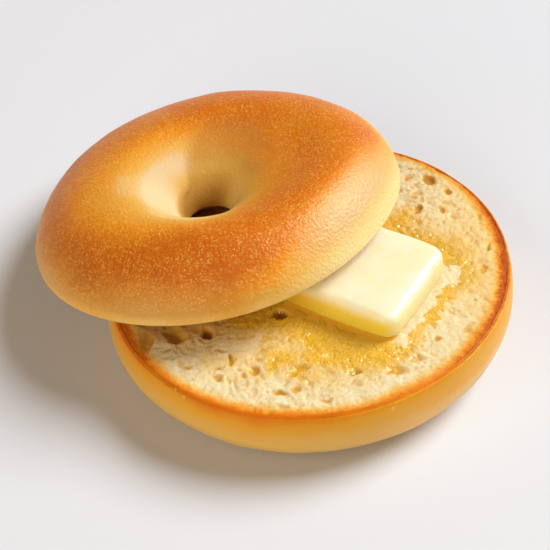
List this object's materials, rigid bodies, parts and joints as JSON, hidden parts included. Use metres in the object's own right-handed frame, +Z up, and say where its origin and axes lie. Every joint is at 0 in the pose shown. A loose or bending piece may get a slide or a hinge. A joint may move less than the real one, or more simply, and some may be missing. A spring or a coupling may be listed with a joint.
{
  "type": "sliced bagel with a pat of butter",
  "caption": "Plain bagel sliced in two: the bottom half cut face up with a pat of butter on it, and the domed top half leaning on both.",
  "frame": {"origin": "middle of the whole footprint, on the surface that the bottom half stands on", "axes": "+Z up, +X to the right and +Y away from an eater who sees the butter at the right and the hole of the top half at the left"},
  "size_m": [0.1256, 0.1238, 0.0419],
  "materials": {
    "bottom_crust": "satin baked crust, pale golden, with an open crumb on the cut face",
    "top_crust": "satin baked crust, deep golden brown, finely blistered",
    "butter": "soft glossy butter, melting at its foot"
  },
  "bodies": {
    "root": {"bottom_half": "bottom_crust", "top_half": "top_crust", "butter_pat": "butter"}
  },
  "joints": []
}
